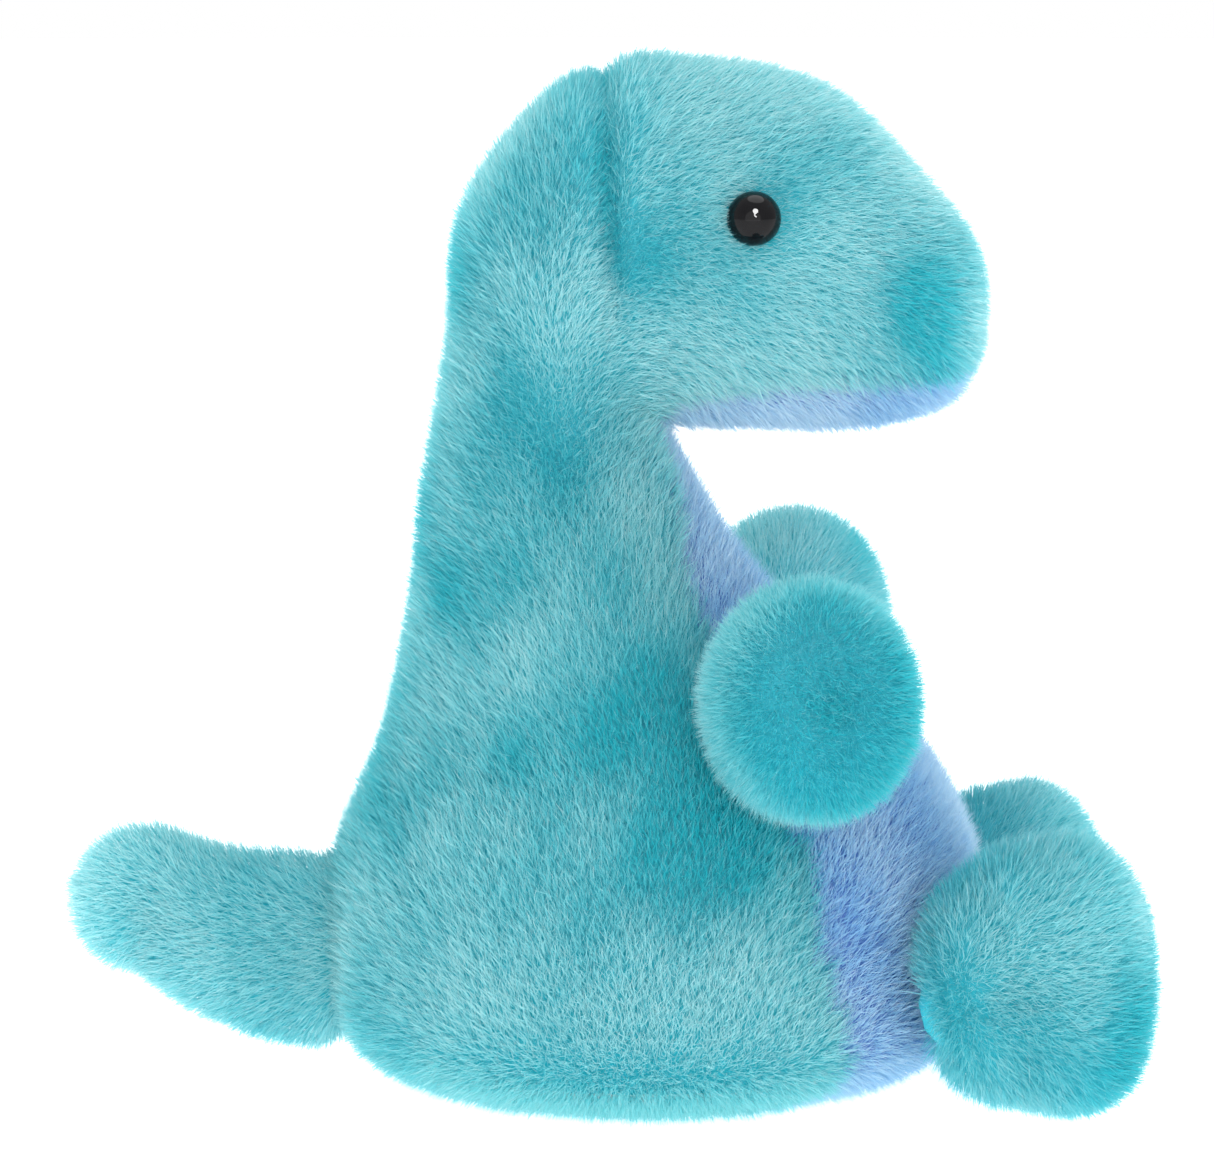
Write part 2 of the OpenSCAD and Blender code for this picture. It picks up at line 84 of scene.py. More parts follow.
# back or crown x and z, front or underside x and z, half width, half angle of the belly and chin panels
SECTIONS = np.array([
    (-13.0, 0.4, 13.0, 0.4, 10.5, 42),
    (-29.0, 3.8, 28.6, 3.8, 24.6, 45),
    (-37.8, 9.0, 38.3, 9.0, 33.2, 50),
    (-39.5, 19.0, 40.0, 19.0, 35.5, 57),
    (-38.1, 30.0, 39.7, 30.0, 33.6, 61),
    (-33.2, 42.0, 33.4, 42.0, 28.6, 62),
    (-30.5, 53.0, 21.9, 53.0, 23.8, 56),
    (-28.7, 64.0, 12.2, 64.0, 19.4, 44),
    (-27.8, 74.0, 6.4, 74.0, 17.0, 19),
    (-24.6, 91.5, 3.2, 79.2, 18.0, 16),
    (-21.4, 109.8, 3.6, 79.4, 19.2, 20),
    (NOSE_X - 48.2, CROWN_Z - 1.0, 5.5, 79.3, 20.3, 28),
    (NOSE_X - 31.8, CROWN_Z, 13.5, 79.0, 20.6, 36),
    (NOSE_X - 19.3, CROWN_Z - 3.6, 23.0, 79.2, 19.3, 40),
    (NOSE_X - 9.4, CROWN_Z - 13.0, 31.0, 80.6, 16.2, 43),
    (NOSE_X - 2.0, CROWN_Z - 22.4, 35.4, 82.6, 12.0, 42),
    (NOSE_X + 0.2, CROWN_Z - 30.2, 38.0, 85.4, 7.2, 36),
    (NOSE_X - 0.4, CROWN_Z - 34.6, NOSE_X - 0.6, CROWN_Z - 35.0, 0.2, 34)])


def spline(rows, u):
    """Rows of a table joined by a smooth curve, at places u counted in rows."""
    rows = np.asarray(rows, float)
    u = np.atleast_1d(np.asarray(u, float))
    i = np.clip(np.floor(u).astype(int), 0, len(rows) - 2)
    k = (u - i)[:, None]
    a, b = rows[np.maximum(i - 1, 0)], rows[i]
    c, d = rows[i + 1], rows[np.minimum(i + 2, len(rows) - 1)]
    second = k ** 2 * (2 * a - 5 * b + 4 * c - d) / 2
    return b + k * (c - a) / 2 + second + k ** 3 * (3 * b - a - 3 * c + d) / 2


def hide_point(u, angle, inset):
    """Points of the hide. Angle 0 is the front or underside, 90 the right flank, 180 the back or crown."""
    r = spline(SECTIONS, u)
    crown, under = r[:, 0:2], r[:, 2:4]
    span = under - crown
    half = np.linalg.norm(span, axis=1) / 2
    along = span / (2 * half)[:, None]
    a = np.radians(angle)
    p = (crown + under) / 2 + along * (np.maximum(half - inset, 0.05) * np.cos(a))[:, None]
    y = -np.maximum(r[:, 4] - inset, 0.05) * np.sin(a)
    return np.column_stack([p[:, 0], y, p[:, 1]]) * MM


def unit(v):
    """Vectors brought to length 1."""
    return v / np.maximum(np.linalg.norm(v, axis=-1, keepdims=True), 1e-12)


def smooth(low, high, x):
    """A soft step from 0 at low to 1 at high."""
    k = np.clip((x - low) / (high - low), 0, 1)
    return k * k * (3 - 2 * k)


def dip(gap, seam):
    """How far a seam draws in at a distance from it, from its depth and reach."""
    return seam[0] * np.exp(-(gap / seam[1]) ** 2)


WAVES = 7                 # how many waves a ripple is made of
WAVE_SUM = 2.6            # what brings their sum back to about -1 to 1
FINE_RIPPLE = 3.0         # size of the finer of the two ripples in the pile
PATCHES = 0.20            # how strongly the coarser one tells


def ripple(p, size, seed):
    """Slow random waves over space, about -1 to 1, for the way a hand has brushed the pile."""
    rng = np.random.default_rng(seed)
    total = np.zeros(len(p))
    for _ in range(WAVES):
        wave = rng.normal(size=3) / size
        total += np.sin(p / MM @ wave + rng.uniform(0, 2 * math.pi))
    return total / WAVE_SUM


def brushing(p, usual, size, fine, seed):
    """How pale the pile is, before any patch that a hand has flattened and any patch of painted light and shade.
    """
    return usual + PATCHES * ripple(p, size, seed) + fine * ripple(p, FINE_RIPPLE, seed + 1)


CAP = 2                   # panel number of the faces that shut a ring mesh, which carry no pile


def ring_mesh(name, rings, panels):
    """A closed mesh through rings of points, its first and last ring shut by a middle point."""
    rows, cols = rings.shape[:2]
    points = np.concatenate([rings.reshape(-1, 3), [rings[0].mean(0)], [rings[-1].mean(0)]])
    faces = [(r * cols + c, r * cols + (c + 1) % cols, (r + 1) * cols + (c + 1) % cols, (r + 1) * cols + c)
             for r in range(rows - 1) for c in range(cols)]
    low, high = rows * cols, rows * cols + 1
    last = (rows - 1) * cols
    faces += [((c + 1) % cols, c, low) for c in range(cols)]
    faces += [(last + c, last + (c + 1) % cols, high) for c in range(cols)]
    mesh = bpy.data.meshes.new(name)
    mesh.from_pydata(points.tolist(), [], [tuple(reversed(f)) for f in faces])
    mesh.polygons.foreach_set("use_smooth", [True] * len(mesh.polygons))
    kinds = list(panels.reshape(-1)) + [CAP] * (2 * cols)
    mesh.polygons.foreach_set("material_index", kinds)
    mesh.update()
    piece = bpy.data.objects.new(name, mesh)
    bpy.context.scene.collection.objects.link(piece)
    return piece


def keep(piece, name, values):
    """Stores one number or one vector for each vertex."""
    kind = "FLOAT" if values.ndim == 1 else "FLOAT_VECTOR"
    field = "value" if values.ndim == 1 else "vector"
    store = piece.data.attributes.new(name, kind, "POINT")
    store.data.foreach_set(field, values.astype(np.float32).reshape(-1))


def vertices(piece):
    """The places of a piece's vertices, one row for each."""
    co = np.empty(len(piece.data.vertices) * 3)
    piece.data.vertices.foreach_get("co", co)
    return co.reshape(-1, 3)


KNIT_STIFFNESS = 12
PRESSURE = 4.0            # how hard the filling presses
FILL_FRAMES = 12          # steps of filling


def fill_out(piece, held, cap):
    """Blows the closed hide up like its filling does, held along the seams, by cap millimetres at most."""
    before = vertices(piece)
    group = piece.vertex_groups.new(name="seams")
    for i, weight in enumerate(held):
        group.add([i], float(weight), "REPLACE")
    cloth = piece.modifiers.new("filling", "CLOTH")
    cloth.settings.quality = 4
    cloth.settings.mass = 0.2
    cloth.settings.tension_stiffness = KNIT_STIFFNESS
    cloth.settings.compression_stiffness = KNIT_STIFFNESS
    cloth.settings.bending_stiffness = 0.4
    cloth.settings.use_pressure = True
    cloth.settings.uniform_pressure_force = PRESSURE
    cloth.settings.vertex_group_mass = "seams"
    cloth.settings.effector_weights.gravity = 0
    cloth.point_cache.frame_start = 1
    cloth.point_cache.frame_end = FILL_FRAMES
    for frame_number in range(1, FILL_FRAMES + 1):
        bpy.context.scene.frame_set(frame_number)
    evaluated = piece.evaluated_get(bpy.context.evaluated_depsgraph_get())
    after = np.array([v.co for v in evaluated.data.vertices])
    piece.modifiers.remove(cloth)
    piece.vertex_groups.clear()
    bpy.context.scene.frame_set(1)
    move = after - before
    length = np.linalg.norm(move, axis=1, keepdims=True)
    move *= np.minimum(1, cap * MM / np.maximum(length, 1e-9))
    piece.data.vertices.foreach_set("co", (before + np.nan_to_num(move)).reshape(-1))
    piece.data.update()


def head_seam(points):
    """How far points lie from the seam behind the cheek, in millimetres, and how strongly it draws in."""
    x, z = points[:, 0] / MM, points[:, 2] / MM
    low_z, low_x, high_z, high_x = HEAD_SEAM
    seam_x = low_x + (z - low_z) / (high_z - low_z) * (high_x - low_x)
    return np.abs(x - seam_x), smooth(84, 118, z) ** 0.7


STEP = 0.05               # half the length, in sections, over which the direction of the hide is taken


def hide_piece(name, first, last, rows, cols):
    """A length of the hide between two sections, and the way its pile is brushed."""
    u = np.linspace(first, last, rows)
    angle = np.arange(cols) * 360 / cols - 180
    uu, aa = [g.reshape(-1) for g in np.meshgrid(u, angle, indexing="ij")]
    section = spline(SECTIONS, uu)
    seam_gap = np.abs(np.abs(aa) - section[:, 5]) * np.radians(1) * section[:, 4]
    back_gap = (180 - np.abs(aa)) * np.radians(1) * section[:, 4]
    head_gap, high = head_seam(hide_point(uu, aa, 0))
    drawn_in = dip(seam_gap, PANEL_DIP) + dip(back_gap, BACK_DIP)
    drawn_in += dip(head_gap, HEAD_DIP) * high
    points = hide_point(uu, aa, HIDE_DEPTH + drawn_in * (uu < NOSE - 1.2))
    points[:, 0] -= HIDE_DEPTH * MM * smooth(14.2, 16.2, uu)
    rings = points.reshape(rows, cols, 3)
    middle_u, middle_a = (u[1:] + u[:-1]) / 2, angle + 180 / cols
    mu, ma = np.meshgrid(middle_u, middle_a, indexing="ij")
    front = np.abs((ma + 180) % 360 - 180) < spline(SECTIONS, mu.reshape(-1))[:, 5].reshape(mu.shape)
    piece = ring_mesh(name, rings, front.astype(int))
    near = np.minimum(uu + STEP, NOSE - 0.3)
    along = unit(hide_point(near, aa, HIDE_DEPTH) - hide_point(near - 2 * STEP, aa, HIDE_DEPTH))
    comb = np.concatenate([along, [(0, 0, 1), (1, 0, 0)]])
    held = dip(np.minimum(np.minimum(seam_gap, back_gap), head_gap), (1, STITCH_REACH))
    held[np.isclose(uu, first) | np.isclose(uu, last)] = 1
    keep(piece, "comb", comb)
    keep(piece, "station", np.concatenate([uu, [first, last]]))
    fill_out(piece, np.concatenate([held, [1, 1]]), 0.8)
    return piece


# x, z, reach and how much paler (or deeper) the pile is where a hand has brushed it flat (or raised it); among
# these are patches of painted light and painted shade: paler ones along the edges of the crown, nape and nose for
# light caught by the fibre tips, and others set paler or deeper where light and shade fall on the form
BRUSHED_AND_PAINTED_SHADING = np.array([
    (12, 12, 9, 0.75), (-3, 11, 11, 0.70), (-19, 13, 9, 0.40), (-29, 20, 9, 0.20), (6, 46, 11, -0.65),
    (-11, 41, 8, -0.50), (-19, 61, 7, -0.40), (18, 35, 6, -0.35), (3, 22, 8, 0.30), (11, 22, 7, 0.20),
    (-1, 66, 8, -0.20), (-3, 82, 6, 0.30), (-12, 3, 7, 0.50), (4, 2, 9, 0.50), (20, 4, 7, 0.40),
    (-22, 86, 9, 0.18), (-18, 111, 8, 0.40), (-8, 94, 6, 0.55), (5, 119, 12, 0.60), (5, 91, 8, 0.60),
    (15, 88, 7, 0.40), (-1, 101, 6, -0.50), (18, 110, 6, -0.12), (24, 117, 7, 0.40), (29, 97, 6, -0.75),
    (28, 107, 6, 0.30), (38, 94, 5, 0.40), (9, 66, 8, 0.20)])


EYE_EDGE = 2.6            # distance from the middle of an eye within which no pile grows


def hide_pile(piece, seed):
    """How the pile of the hide lies: flat and pale in brushed patches, upright and deep in colour between, with
    patches of painted light and painted shade in its paleness and painted shade along the seam behind the cheek.
    """
    co = vertices(piece)
    station = np.empty(len(co), np.float32)
    piece.data.attributes["station"].data.foreach_get("value", station)
    pale = brushing(co, 0.42, 7, 0.16, seed)
    # brushed patches, and patches of painted light and painted shade
    for x, z, reach, paler in BRUSHED_AND_PAINTED_SHADING:
        pale += paler * np.exp(-((co[:, 0] / MM - x) ** 2 + (co[:, 2] / MM - z) ** 2) / reach ** 2)
    head_gap, high = head_seam(co)
    # the pile parts and is shorter along the seam, and is painted deeper there as painted shade in its groove
    parting_and_shade = dip(head_gap, (1, 1.3)) * high
    pale = np.clip(pale - 0.6 * parting_and_shade, 0, 1)
    eyes = [np.array(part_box(f"eye_{side}")).mean(0) for side in ("right", "left")]
    gaps = [np.linalg.norm((co - e)[:, [0, 2]], axis=1) + (co[:, 1] * e[1] < 0) for e in eyes]
    near_eye = np.minimum(*gaps) / MM
    keep(piece, "pale", pale)
    keep(piece, "lean", (0.24 + 0.50 * pale) * (1 - 0.6 * smooth(14.4, 16.4, station)))
    keep(piece, "pile", PILE * (0.45 + 0.55 * smooth(EYE_EDGE, 5.6, near_eye)) * (1 - 0.35 * parting_and_shade))
    keep(piece, "grow", (near_eye > EYE_EDGE) * smooth(0.4, 1.4, co[:, 2] / MM))


body_hide = hide_piece("body_hide", 0.0, NECK_CUT, 72, 96)
hide_pile(body_hide, 11)
head_hide = hide_piece("head_hide", NECK_CUT, NOSE - 0.03, 110, 96)
hide_pile(head_hide, 11)


# --------------------------------------------------------------------------------------------------
# Hides of the arms, legs and tail. Each is two panels sewn all round and stuffed, closed to a narrow root
# that is sewn to the body. Their pile is brushed from root to tip and stands up at the tip.
# --------------------------------------------------------------------------------------------------
JOINTS = {j["name"]: j for j in frame["joints"]}


LIMB_RINGS = 56
LIMB_COLS = 64            # vertices in each ring


def limb_rows(shaft, tip, boxy, lift=0.0):
    """The rows of a shaft closed by a rounded end that reaches to the tip and rises towards it."""
    start, high, thick, rise = shaft[-1]
    turns = np.radians(np.linspace(12, 89.5, 9))
    end = [(start + (tip - start) * math.sin(t) ** boxy, high * math.cos(t) ** boxy,
            thick * math.cos(t) ** boxy, rise + lift * math.sin(t) ** 2) for t in turns]
    return np.array(list(shaft) + end)


def limb_hide(name, joint, out, up, rows, seams, squareness, seed):
    """A limb from its rows: distance from the root, half height, half thickness and rise, over the pile."""
    root = np.array(JOINTS[joint]["pos_m"])
    side = 1 if root[1] > 0 else -1
    out, up = math.radians(out), math.radians(up)
    along = np.array([math.cos(up) * math.cos(out), side * math.cos(up) * math.sin(out), math.sin(up)])
    across = unit(np.cross(along, [0, 0, 1]))
    above = np.cross(across, along)
    count, cols = LIMB_RINGS, LIMB_COLS
    u = np.linspace(0, len(rows) - 1, count)
    angle = np.arange(cols) * 360 / cols
    uu, aa = [g.reshape(-1) for g in np.meshgrid(u, angle, indexing="ij")]
    r = spline(rows, uu)
    slope = spline(rows, uu + 0.02)[:, :3] - spline(rows, uu - 0.02)[:, :3]
    outwards = unit(np.column_stack([-(slope[:, 1] + slope[:, 2]) / 2, slope[:, 0]]))
    c, s = np.cos(np.radians(aa)), np.sin(np.radians(aa))
    c, s = np.sign(c) * np.abs(c) ** squareness, np.sign(s) * np.abs(s) ** squareness
    gaps = [np.abs((aa - seam + 180) % 360 - 180) * np.radians(1) * r[:, 1] for seam in seams]
    gap = np.minimum(*gaps)
    inset = HIDE_DEPTH + dip(gap, LIMB_DIP) * (1 - smooth(6, 12, r[:, 0]))
    distance = r[:, 0] - inset * outwards[:, 0] * smooth(0, 4, r[:, 0])
    shrink = inset * np.maximum(outwards[:, 1], 0.05)
    points = root / MM + distance[:, None] * along + r[:, 3:4] * above
    points = points + (np.maximum(r[:, 2] - shrink, 0.05) * c)[:, None] * across
    points = (points + (np.maximum(r[:, 1] - shrink, 0.05) * s)[:, None] * above) * MM
    rings = points.reshape(count, cols, 3)
    piece = ring_mesh(name, rings, np.zeros((count - 1, cols), int))
    comb = np.concatenate([unit(np.gradient(rings, axis=0).reshape(-1, 3)), [along, along]])
    if np.dot(np.cross(across, above), along) > 0:
        piece.data.flip_normals()
    held = np.concatenate([dip(gap, (1, 1.5)), [1, 1]])
    held[:cols * ROOT_RINGS] = 1
    keep(piece, "comb", comb)
    fill_out(piece, held, 0.3)
    co = vertices(piece)
    reach = np.concatenate([r[:, 0] / r[:, 0].max(), [0, 1]])
    end = smooth(0.45, 1.0, reach)
    usual, at_tip = LIMB_PALE[name.split("_")[0]]
    pale = brushing(co, usual, 6, 0.15, seed) + at_tip * end
    keep(piece, "pale", np.clip(pale, 0, 1))
    keep(piece, "lean", (0.28 + 0.42 * pale) * (1 - 0.8 * end))
    keep(piece, "pile", PILE * (0.6 + 0.4 * smooth(3, 8, co[:, 2] / MM)))
    from_root = np.concatenate([r[:, 0], [rows[0][0], rows[-1][0]]]) - rows[0][0]
    keep(piece, "grow", smooth(2.6, 4.0, co[:, 2] / MM) * (from_root > ROOT_BARE))
    return piece


ROOT_BARE = 1.6           # length at the root without pile
ROOT_RINGS = 3            # rings of the mesh that the root's thread holds
# how pale the pile of a limb is, and how much paler it is at the tip
LIMB_PALE = {"arm": (0.46, -0.52), "leg": (0.38, -0.10), "tail": (0.50, 0.30)}
ARM = limb_rows([(-5, 5, 5, -2), (-1, 10.5, 9.5, -1.2), (3, 13.2, 11.6, -0.6), (8, 14.6, 12.7, -0.3),
                 (11, 14.5, 12.7, 0)], 23.6, 0.88)
LEG = limb_rows([(-6, 3, 3, 0.6), (-3.6, 7.5, 6.6, 0.9), (-1.6, 11.0, 9.6, 1.3), (1.6, 14.4, 12.3, 1.5),
                 (6.0, 17.0, 14, 1.4), (10.0, 17.5, 14.5, 1.1)], 22.6, 0.95, 4.6)
# the far leg was set down a little shorter, lower and flatter
FAR_LEG = LEG * (0.93, 0.97, 1, 1) - (0, 0, 0, 0.8)
# the tail turns up a little at its end
TAIL = limb_rows([(-9, 9.2, 8, 0.9), (-5, 12.3, 9.6, 0.6), (-2, 12.7, 9.8, 0.3), (4, 12.1, 9.7, 0.0),
                  (11, 11.0, 9.5, 0.4), (17, 10.0, 8.8, 2.1)], 28.0, 0.9)
arm_hides = {side: limb_hide(f"arm_{side}_hide", f"{side}_arm_lift", 76, 2, ARM, (90, 270), 1.0, seed)
             for side, seed in (("right", 31), ("left", 33))}
leg_hides = {side: limb_hide(f"leg_{side}_hide", f"{side}_leg_lift", 0, 14, rows, (0, 180), 0.86, seed)
             for side, rows, seed in (("right", LEG, 41), ("left", FAR_LEG, 43))}
tail_hide = limb_hide("tail_hide", "tail_lift", 180, 12, TAIL, (90, 270), 0.95, 51)


# --------------------------------------------------------------------------------------------------
# Knitted backing that the pile is fixed in: a matt cloth, dyed a little deeper than the fibres.
# --------------------------------------------------------------------------------------------------
def socket_of(n, key):
    """An input of a node, by its number, as in i0, or by its name with underscores for spaces."""
    numbered = key[0] == "i" and key[1:].isdigit()
    return n.inputs[int(key[1:]) if numbered else key.replace("_", " ")]


class Graph:
    """The nodes of one material."""

    def __init__(self, name):
        self.material = bpy.data.materials.new(name)
        self.material.use_nodes = True
        self.tree = self.material.node_tree
        self.tree.nodes.clear()

    def node(self, kind, settings=None, **sockets):
        n = self.tree.nodes.new(kind)
        for key, value in (settings or {}).items():
            if key == "stops":
                ramp = n.color_ramp
                while len(ramp.elements) < len(value):
                    ramp.elements.new(0.5)
                for element, (place, colour) in zip(ramp.elements, value):
                    element.position = place
                    element.color = (*colour, 1)
            else:
                setattr(n, key, value)
        for key, value in sockets.items():
            socket = socket_of(n, key)
            if isinstance(value, Val):
                self.tree.links.new(value.socket, socket)
            elif isinstance(value, tuple) and socket.type == "RGBA":
                socket.default_value = (*value, 1)[:4]
            else:
                socket.default_value = value
        return n

    def out(self, n, name=0):
        return Val(self, n.outputs[name])

    def finish(self, shader):
        self.node("ShaderNodeOutputMaterial", Surface=self.out(shader))
        return self.material


class Val:
    """A socket that can be written into a sum or a product."""

    def __init__(self, graph, socket):
        self.graph = graph
        self.socket = socket

    def _op(self, operation, a, b):
        n = self.graph.node("ShaderNodeMath", {"operation": operation}, i0=a, i1=b)
        return self.graph.out(n)

    def __add__(self, other):
        return self._op("ADD", self, other)

    def __mul__(self, other):
        return self._op("MULTIPLY", self, other)

    __radd__ = __add__
    __rmul__ = __mul__


def blend_colour(g, factor, a, b):
    n = g.node("ShaderNodeMix", {"data_type": "RGBA"}, i0=factor, i6=a, i7=b)
    return g.out(n, 2)


def backing(name, deep, light):
    g = Graph(name)
    place = g.out(g.node("ShaderNodeTexCoord"), "Object")
    knit = g.out(g.node("ShaderNodeTexVoronoi", Vector=place, Scale=2600.0), "Distance")
    cloud = g.out(g.node("ShaderNodeTexNoise", Vector=place, Scale=180.0, Detail=3.0), 0)
    colour = blend_colour(g, cloud * 0.7 + knit * 0.4, deep, light)
    bump = g.node("ShaderNodeBump", Strength=0.5, Distance=0.0002, Height=knit)
    return g.finish(g.node("ShaderNodeBsdfPrincipled", Base_Color=colour, Roughness=0.85, Normal=g.out(bump)))


teal_backing = backing("teal_backing", (0.02, 0.40, 0.50), (0.04, 0.54, 0.63))
periwinkle_backing = backing("periwinkle_backing", (0.09, 0.19, 0.52), (0.16, 0.28, 0.68))


# --------------------------------------------------------------------------------------------------
# Pile: soft polyester fibres a few millimetres long, knitted into the backing and brushed from seat to nose.
# Each is a tapered, slightly bowed ribbon, deep in colour at its root as painted shade within the pile and pale at
# its tip as painted light on the tips.
# --------------------------------------------------------------------------------------------------
FIBRE_WIDTH = 0.10
BOW = 0.2                 # how far the tip leans out of line, as a share of the length
FIBRES_PER_MM2 = 18.0
STRAY = 0.36              # how far single fibres stray from the way the pile is brushed
GLINTS = 4.0              # the higher, the fewer fibres are painted pale by chance as painted glints
THROUGH = 0.42            # share of the light that passes through a fibre


def fibre_mesh():
    """One fibre of length 1 and width 1, its root at the origin, standing along Z and bowed towards Y."""
    middle = 0.5
    mesh = bpy.data.meshes.new("fibre")
    points = [(0, 0, 0), (-0.5, BOW / 4, middle), (0.5, BOW / 4, middle), (0, BOW, 1)]
    mesh.from_pydata(points, [], [(0, 2, 1), (1, 2, 3)])
    mesh.update()
    fibre = bpy.data.objects.new("fibre", mesh)
    bpy.context.scene.collection.objects.link(fibre)
    keep(fibre, "along", np.array([0.03, middle, middle, 0.97]))
    keep(fibre, "across", np.array([0.0, -1.0, 1.0, 0.0]))
    return fibre


fibre = fibre_mesh()


def pile_tree():
    """Scatters fibres over a piece of hide, each leaning the way it is brushed, and makes them one mesh."""
    tree = bpy.data.node_groups.new("pile", "GeometryNodeTree")
    face = tree.interface

    def given(name, kind, value=None):
        socket = face.new_socket(name, in_out="INPUT", socket_type=kind)
        if value is not None:
            socket.default_value = value

    given("Hide", "NodeSocketGeometry")
    given("Fibres per m2", "NodeSocketFloat", FIBRES_PER_MM2 * 1e6)
    given("Width", "NodeSocketFloat", FIBRE_WIDTH * MM)
    given("Stray", "NodeSocketFloat", STRAY)
    given("Seed", "NodeSocketInt", 1)
    given("Finish", "NodeSocketMaterial")
    face.new_socket("Pile", in_out="OUTPUT", socket_type="NodeSocketGeometry")
    links = tree.links

    def node(kind, settings=None, **sockets):
        n = tree.nodes.new(kind)
        for key, value in (settings or {}).items():
            setattr(n, key, value)
        for key, value in sockets.items():
            socket = socket_of(n, key)
            if isinstance(value, bpy.types.NodeSocket):
                links.new(value, socket)
            else:
                socket.default_value = value
        return n

    def maths(operation, a, b=0.0):
        return node("ShaderNodeMath", {"operation": operation}, i0=a, i1=b).outputs[0]

    def vectors(operation, a, b=None, scale=None):
        n = node("ShaderNodeVectorMath", {"operation": operation}, i0=a)
        if b is not None:
            links.new(b, n.inputs[1])
        if scale is not None:
            links.new(scale, n.inputs["Scale"])
        return n.outputs[0]

    def named(name, kind="FLOAT"):
        return node("GeometryNodeInputNamedAttribute", {"data_type": kind}, Name=name).outputs[0]

    def chance(low, high, salt, vector=False):
        seed = maths("ADD", given_values.outputs["Seed"], float(salt))
        if vector:
            n = node("FunctionNodeRandomValue", {"data_type": "FLOAT_VECTOR"}, Seed=seed)
            n.inputs[0].default_value = (low,) * 3
            n.inputs[1].default_value = (high,) * 3
            return n.outputs[0]
        n = node("FunctionNodeRandomValue", {"data_type": "FLOAT"}, Seed=seed)
        n.inputs[2].default_value = low
        n.inputs[3].default_value = high
        return n.outputs[1]

    given_values = node("NodeGroupInput")
    density = maths("MULTIPLY", given_values.outputs["Fibres per m2"], named("grow"))
    scatter = node("GeometryNodeDistributePointsOnFaces", {"distribute_method": "RANDOM"},
                   Mesh=given_values.outputs["Hide"], Density=density, Seed=given_values.outputs["Seed"])
    comb, lean = named("comb", "FLOAT_VECTOR"), named("lean")
    wander = vectors("SCALE", chance(-1, 1, 1, True), scale=given_values.outputs["Stray"])
    upright = vectors("SCALE", scatter.outputs["Normal"], scale=maths("COSINE", lean))
    brushed = vectors("SCALE", comb, scale=maths("SINE", lean))
    direction = vectors("NORMALIZE", vectors("ADD", vectors("ADD", upright, brushed), wander))
    facing = vectors("ADD", comb, chance(-0.9, 0.9, 2, True))
    turn = node("FunctionNodeAxesToRotation", {"primary_axis": "Z", "secondary_axis": "Y"},
                Primary_Axis=direction, Secondary_Axis=facing).outputs[0]
    length = maths("MULTIPLY", maths("MULTIPLY", named("pile"), MM), chance(0.72, 1.12, 3))
    size = node("ShaderNodeCombineXYZ", X=given_values.outputs["Width"], Y=length, Z=length).outputs[0]
    # a few fibres at random are painted pale as painted glints of light
    glint = maths("MULTIPLY", maths("POWER", chance(0.0, 1.0, 4), GLINTS), maths("ADD", named("pale"), 0.45))
    tone = maths("ADD", named("pale"), glint)
    toned = node("GeometryNodeStoreNamedAttribute", {"data_type": "FLOAT", "domain": "POINT"},
                 Geometry=scatter.outputs["Points"], Name="tone", Value=tone)
    blade = node("GeometryNodeObjectInfo")
    blade.inputs[0].default_value = fibre
    grown = node("GeometryNodeInstanceOnPoints", Points=toned.outputs[0], Instance=blade.outputs["Geometry"],
                 Rotation=turn, Scale=size)
    real = node("GeometryNodeRealizeInstances", Geometry=grown.outputs[0])
    spread = maths("MULTIPLY", named("across"), 0.012)
    chart = node("ShaderNodeCombineXYZ", X=named("along"), Y=maths("ADD", named("tone"), spread)).outputs[0]
    charted = node("GeometryNodeStoreNamedAttribute", {"data_type": "FLOAT2", "domain": "CORNER"},
                   Geometry=real.outputs[0], Name="OFBake", Value=chart)
    finished = node("GeometryNodeSetMaterial", Geometry=charted.outputs[0],
                    Material=given_values.outputs["Finish"])
    out = node("NodeGroupOutput")
    links.new(finished.outputs[0], out.inputs[0])
    return tree


pile = pile_tree()
pile_socket = {item.name: item.identifier for item in pile.interface.items_tree if item.in_out == "INPUT"}


def fibre_finish(name, root, low, high, tip, through):
    """Colour runs along the fibre from root to tip, and from deep to pale fibres: deeper at the root as painted
    shade within the pile, paler at the tip as painted light on the tips.
    """
    g = Graph(name)
    chart = g.node("ShaderNodeUVMap", {"uv_map": "OFBake"})
    parts = g.node("ShaderNodeSeparateXYZ", Vector=g.out(chart))
    along, tone = g.out(parts, 0), g.out(parts, 1)
    # painted shade at the root and painted light towards the tip, along each fibre
    deep = g.out(g.node("ShaderNodeValToRGB", {"stops": [(0.0, root), (0.45, low), (1.0, high)]}, Fac=along))
    pale = g.out(g.node("ShaderNodeValToRGB", {"stops": [(0.0, high), (1.0, tip)]}, Fac=along))
    colour = blend_colour(g, tone, deep, pale)
    coat = g.node("ShaderNodeBsdfPrincipled", Base_Color=colour, Roughness=0.38)
    glow = g.node("ShaderNodeBsdfTranslucent", Color=through)
    return g.finish(g.node("ShaderNodeMixShader", i0=THROUGH, i1=g.out(coat), i2=g.out(glow)))


teal_fibre = fibre_finish(
    "teal_fibre", (0.006, 0.40, 0.49), (0.007, 0.49, 0.58), (0.022, 0.70, 0.76), (0.92, 1.0, 0.98),
    (0.12, 0.69, 0.75))
periwinkle_fibre = fibre_finish(
    "periwinkle_fibre", (0.18, 0.43, 0.72), (0.23, 0.55, 0.82), (0.40, 0.75, 0.95), (0.94, 1.0, 1.0),
    (0.42, 0.70, 0.90))


# what the hides store for the pile, taken off the finished fibres
WORKING = ("comb", "station", "pale", "lean", "pile", "grow", "tone", "along", "across")


